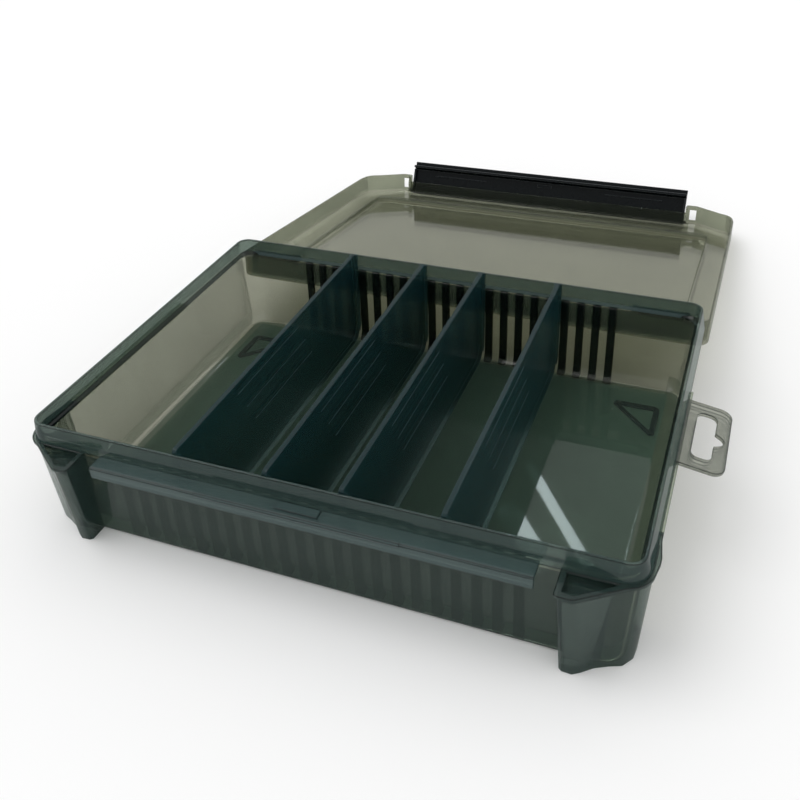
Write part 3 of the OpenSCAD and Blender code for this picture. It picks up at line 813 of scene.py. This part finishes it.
def knuckle():
    """Open-sided tube that presses over the pin, with a web up to the skirt."""
    x0, x1 = HINGE_IN + KNUCKLE_GAP, HINGE_OUT - KNUCKLE_GAP
    bore = PIN_R + PIN_GAP
    open_from, open_to = 205, -24
    section = np.concatenate([arc(HINGE_Y, HINGE_Z, KNUCKLE_R, open_to, open_from, 24),
                              arc(HINGE_Y, HINGE_Z, bore, open_from, open_to, 20)])
    web = block([x0, HINGE_Y + 0.2, HINGE_Z + 1.4], [x1, LID_REAR, RIM_Z + 1])
    return [prism_x(section, x0, x1), web]


lid_solid, lid_finish = lid_shell()
lid = mesh_object("lid_shell", [lid_solid], lid_finish)
carve(lid, lid_cuts())
lay_open(lid)
dress(lid, "lid", LID_FINISH, sharp=50, replaces="lid")
knuckles = mesh_object("lid_knuckles", [swung(s) for s in pair(*knuckle())])
dress(knuckles, "lid", (SMOKE_STEP, SMOKE_EDGE), bevel=0.15)

# ---------- latch ----------

LATCH_LOW, LATCH_HIGH, LATCH_T = LEDGE_Z - 9.8, TOP_Z - 0.2, 1.5
HOOK_Z, HOOK_T = LEDGE_Z - RAIL_H - 0.3, 1.6
STIFF_X, STIFF_Z = (42, 80), (TRAY_H - 9.4, TRAY_H - 8.6)   # stiffening rib on each half
STUD_X, STUD_Z = 5, (TRAY_H - 11, TRAY_H - 9)               # stud in the middle


def latch_solids():
    """Face plate curled over the pivot and hooked in at its lower edge, with its end
    caps, stiffening ribs and pivot pins, drawn closed."""
    face = -NOSE_Y + 0.6
    back = face + LATCH_T
    bar = prism_x([
        [face, LATCH_LOW + 0.8], [face + 0.6, LATCH_LOW], [back, LATCH_LOW],
        [back, HOOK_Z - HOOK_T], [-RAIL_Y + 0.9, HOOK_Z - HOOK_T], [-RAIL_Y + 1.2, HOOK_Z],
        [-RAIL_Y - 0.4, HOOK_Z], [back, HOOK_Z + 1.2], [back, PIVOT_Z], [PIVOT_Y, PIVOT_Z],
        [PIVOT_Y + 1.5, PIVOT_Z], [PIVOT_Y + 1.4, LATCH_HIGH - 0.9],
        [PIVOT_Y + 0.2, LATCH_HIGH], [face + 1.2, LATCH_HIGH], [face, LATCH_HIGH - 1.2]],
        -LATCH_X, LATCH_X)
    cap = block([LATCH_X - 1.2, face + 0.4, HOOK_Z + 1],
                [LATCH_X - 0.02, FRONT_Y - 0.4, PIVOT_Z + 1])
    rib = block([STIFF_X[0], back - 0.3, STIFF_Z[0]], [STIFF_X[1], back + 0.5, STIFF_Z[1]])
    stud = block([-STUD_X, back - 0.3, STUD_Z[0]], [STUD_X, back + 0.6, STUD_Z[1]])
    pin = rod_x(LATCH_X - 1, LATCH_X + 1.4, PIVOT_Y, PIVOT_Z, 1.0)
    return [bar, stud, *pair(cap, rib, pin)]


latch = mesh_object("latch_bar", [swung(turned(s, -LATCH_ANGLE, PIVOT_Y, PIVOT_Z))
                                  for s in latch_solids()])
# the latch's rounded edges take the painted highlight
dress(latch, "latch", (LATCH_BLACK, LATCH_EDGE_HIGHLIGHT), bevel=0.25, replaces="latch")

# ---------- dividers ----------

SLOT_GAP, BLADE_T, DIVIDER_FOOT, DIVIDER_TOP = 0.4, 2.0, WALL + 0.1, TRAY_H + 1.7
FLANGE_T, FLANGE_W = 1.6, 3.6       # the T's crossbar: along Y, along X
FLANGE_TOP = DIVIDER_TOP - 0.4
FRONT_STEP = 2.2                    # the front flange stops this far below that
DIVIDER_ROUND = 1.5                 # upper corners of the blade
KNOB_R, KNOB_L = 1.4, 8             # knob at the rear end of the top
LINES, LINE_FROM, LINE_Z, LINE_L = 3, -39.5, 46.4, 56       # moulded lines on each face
LINE_SHIFT, LINE_DOWN, LINE_W = 5, 10, 0.3                  # from one to the next; width


def divider_solids(x):
    """Blade with rounded corners, T-shaped ends with a round knob, and moulded lines."""
    front, rear = Y_FRONT + WALL + SLOT_GAP, Y_REAR - WALL - SLOT_GAP
    rear_low = rear - REAR_DRAFT
    r, q = FLOOR_R + SLOT_GAP, DIVIDER_ROUND
    low, top = DIVIDER_FOOT + r, DIVIDER_TOP
    plate = prism_x(np.concatenate([
        arc(front + r, low, r, 180, 270, 10), arc(rear_low - r, low, r, -90, 0, 10),
        [[rear, LEDGE_Z]], arc(rear - q, top - q, q, 0, 90, 5),
        arc(front + q, top - q, q, 90, 180, 5)]), x - BLADE_T / 2, x + BLADE_T / 2)
    t, high, step = FLANGE_T, FLANGE_TOP, FLANGE_TOP - FRONT_STEP
    ends = [prism_x(p, x - FLANGE_W / 2, x + FLANGE_W / 2) for p in (
        [[front, low], [front + t, low - 3], [front + t, step], [front, step]],
        [[rear_low, low], [rear, LEDGE_Z], [rear, high], [rear - t, high],
         [rear_low - t, low - 3]])]
    knob = [at_height(arc(x, rear - KNOB_R, KNOB_R * math.cos(a), 0, 345, 23),
                      top - KNOB_R + KNOB_R * math.sin(a)) for a in np.radians((0, 25, 50, 75))]
    ends.append(loft([knob[0] - [0, 0, KNOB_L], *knob]))
    lines = []
    for side in (-1, 1):
        middle = x + side * BLADE_T / 2
        for k in range(LINES):
            y, z = LINE_FROM + k * LINE_SHIFT, LINE_Z - k * LINE_DOWN
            lines.append(block([middle - LINE_W / 2, y, z],
                               [middle + LINE_W / 2, y + LINE_L, z + LINE_W]))
    return plate, ends, lines


for k, x in enumerate(DIVIDER_X, 1):
    plate, ends, lines = divider_solids(x)
    blade = mesh_object(f"divider_blade_{k}", [plate])
    carve(blade, ends, "UNION")
    # the blade's rounded edges take the painted highlight
    dress(blade, f"divider_{k}", (DIVIDER_BLUE, DIVIDER_EDGE_HIGHLIGHT), bevel=0.35,
          replaces=f"divider_{k}")
    # the moulded lines take the edges' painted highlight colour
    marks = mesh_object(f"divider_lines_{k}", lines)
    dress(marks, f"divider_{k}", [DIVIDER_EDGE_HIGHLIGHT], bevel=0.1)

# ---------- camera, light and floor ----------

PHOTO = 800.0                               # the photograph's frame, pixels
CAMERA_AT = (138.83, -308.47, 276.65)       # millimetres
AZIMUTH, ELEVATION, ROLL = -22.07, 30.93, -2.64
FOCAL_PX, CENTRE_PX = 933.2, (417.3, 310.0)
SENSOR = 36                                 # millimetres

WORLD_LIT, WORLD_SHOWN = 0.88, 1.0          # strength as light, and as what is seen
FLOOR_GREY, FLOOR_HALF, FLOOR_LOW, FLOOR_TOP = 0.93, 4000, -2, -0.15
SUN_ALONG, SUN_WIDTH, SUN_STRENGTH = (0.55, 0.1, -1.0), 40, 0.75
GLINT_AT = (0.08, -0.02, 0.0)       # the place on the floor that mirrors the window, metres
WINDOW_ALONG, WINDOW_TINT = (0.555, 0, 1), "#dff0f2"
# two panes of a window behind the case: name, place, size (metres) and watts
WINDOW_PANES = (("window_pane", (-0.222, 1.5, 1.46), (0.028, 0.30), 0.36),
                ("window_side_pane", (-0.31, 1.5, 1.566), (0.06, 0.20), 0.5))


def place_camera():
    """Camera of the photograph: turned to azimuth and elevation, rolled, shifted."""
    a, e, r = (math.radians(v) for v in (AZIMUTH, ELEVATION, ROLL))
    forward = Vector((math.sin(a) * math.cos(e), math.cos(a) * math.cos(e), -math.sin(e)))
    level = forward.cross(Vector((0, 0, 1))).normalized()
    upright = level.cross(forward)
    right = level * math.cos(r) + upright * math.sin(r)
    up = right.cross(forward)
    data = bpy.data.cameras.new("camera")
    data.sensor_width = SENSOR
    data.lens = FOCAL_PX / PHOTO * data.sensor_width
    data.shift_x = (PHOTO / 2 - CENTRE_PX[0]) / PHOTO
    data.shift_y = (CENTRE_PX[1] - PHOTO / 2) / PHOTO
    data.clip_start, data.clip_end = 0.01, 20
    camera = bpy.data.objects.new("camera", data)
    turn = Matrix((right, up, -forward)).transposed().to_4x4()
    camera.matrix_world = Matrix.Translation(Vector(CAMERA_AT) * MM) @ turn
    bpy.context.scene.collection.objects.link(camera)
    bpy.context.scene.camera = camera


def window(name, at, size, watts):
    """A narrow pane that faces GLINT_AT, its long side along WINDOW_ALONG; it is seen only
    in mirror-like surfaces."""
    data = bpy.data.lights.new(name, "AREA")
    data.shape, data.size, data.size_y = "RECTANGLE", *size
    data.energy, data.color = watts, linear(WINDOW_TINT)[:3]
    lamp = bpy.data.objects.new(name, data)
    lamp.location = at
    normal = (Vector(at) - Vector(GLINT_AT)).normalized()
    along = Vector(WINDOW_ALONG)
    along = (along - normal * along.dot(normal)).normalized()
    turn = Matrix((along.cross(normal), along, normal)).transposed()
    lamp.rotation_euler = turn.to_euler()
    lamp.visible_camera = False
    lamp.visible_diffuse = False
    bpy.context.scene.collection.objects.link(lamp)


def sun(name):
    """A distant soft light that shines along SUN_ALONG."""
    data = bpy.data.lights.new(name, "SUN")
    data.angle, data.energy = math.radians(SUN_WIDTH), SUN_STRENGTH
    lamp = bpy.data.objects.new(name, data)
    lamp.rotation_euler = Vector(SUN_ALONG).to_track_quat("-Z", "Y").to_euler()
    bpy.context.scene.collection.objects.link(lamp)


def white_world():
    """White room: WORLD_SHOWN where the camera, a mirror or a clear piece sees it, and
    WORLD_LIT as light."""
    world = bpy.data.worlds.new("white_room")
    bpy.context.scene.world = world
    world.use_nodes = True
    tree = world.node_tree
    tree.nodes.clear()
    path = node(tree, "ShaderNodeLightPath")
    seen = path.outputs["Is Camera Ray"]
    for ray in ("Is Glossy Ray", "Is Transmission Ray"):
        seen = node(tree, "ShaderNodeMath", {"operation": "ADD", "use_clamp": True},
                    links={0: seen, 1: path.outputs[ray]}).outputs[0]
    lit, shown = (node(tree, "ShaderNodeBackground",
                       inputs={"Color": (1, 1, 1, 1), "Strength": strength})
                  for strength in (WORLD_LIT, WORLD_SHOWN))
    mix = node(tree, "ShaderNodeMixShader", links={0: seen, 1: lit.outputs[0], 2: shown.outputs[0]})
    node(tree, "ShaderNodeOutputWorld", links={"Surface": mix.outputs[0]})


def pale_floor():
    """Plain matt floor that keeps the case's soft shadow."""
    material, tree = new_material("white_matt_floor")
    skin = node(tree, "ShaderNodeBsdfPrincipled",
                inputs={"Base Color": (FLOOR_GREY, FLOOR_GREY, FLOOR_GREY, 1), "Roughness": 0.9,
                        "Specular IOR Level": 0.1})
    node(tree, "ShaderNodeOutputMaterial", links={"Surface": skin.outputs[0]})
    floor = mesh_object("floor", [block([-FLOOR_HALF, -FLOOR_HALF, FLOOR_LOW],
                                        [FLOOR_HALF, FLOOR_HALF, FLOOR_TOP])])
    floor.data.materials.append(material)


bpy.context.scene.view_settings.view_transform = "Standard"
bpy.context.scene.cycles.transparent_max_bounces = 48   # for all the skins one behind another
place_camera()
white_world()
pale_floor()
sun("high_soft_light")
for pane in WINDOW_PANES:
    window(*pane)
